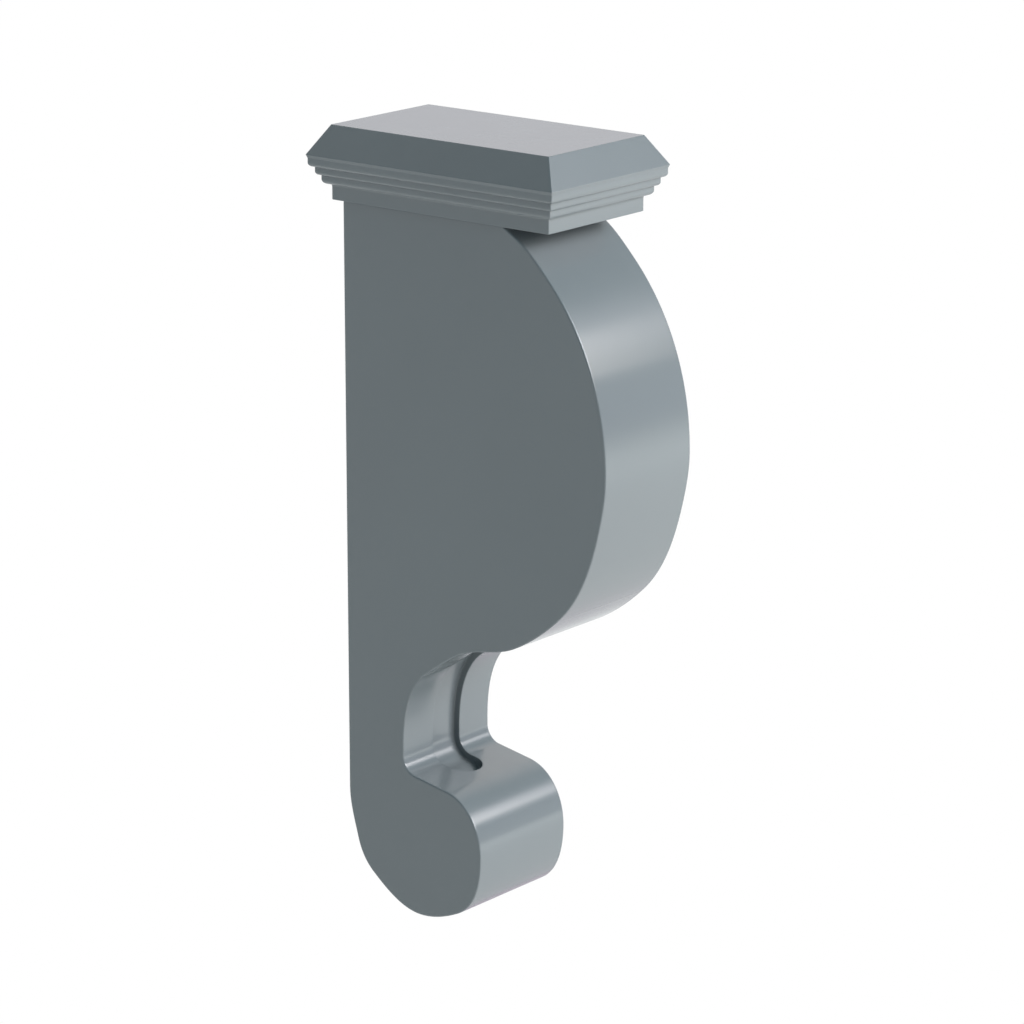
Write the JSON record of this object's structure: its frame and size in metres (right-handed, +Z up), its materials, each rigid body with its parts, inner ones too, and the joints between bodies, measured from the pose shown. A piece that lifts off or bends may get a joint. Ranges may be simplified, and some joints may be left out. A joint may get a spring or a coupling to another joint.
{
  "type": "corbel",
  "caption": "Plain scrolled wall corbel: a deep rounded belly over a slim grooved neck and a small scroll foot, under a stepped and bevelled cap that carries a shelf or beam.",
  "frame": {"origin": "middle of the body's flat back, on the wall plane", "axes": "+Z up; +Y into the wall, so the corbel reaches out along -Y; X across its width"},
  "size_m": [0.1398, 0.2703, 0.6097],
  "materials": {
    "body_paint": "smooth satin blue-grey paint over a close, grainless board",
    "cap_paint": "smooth satin blue-grey paint on a machined moulding"
  },
  "bodies": {
    "root": {"body": "body_paint", "cap": "cap_paint"}
  },
  "joints": []
}
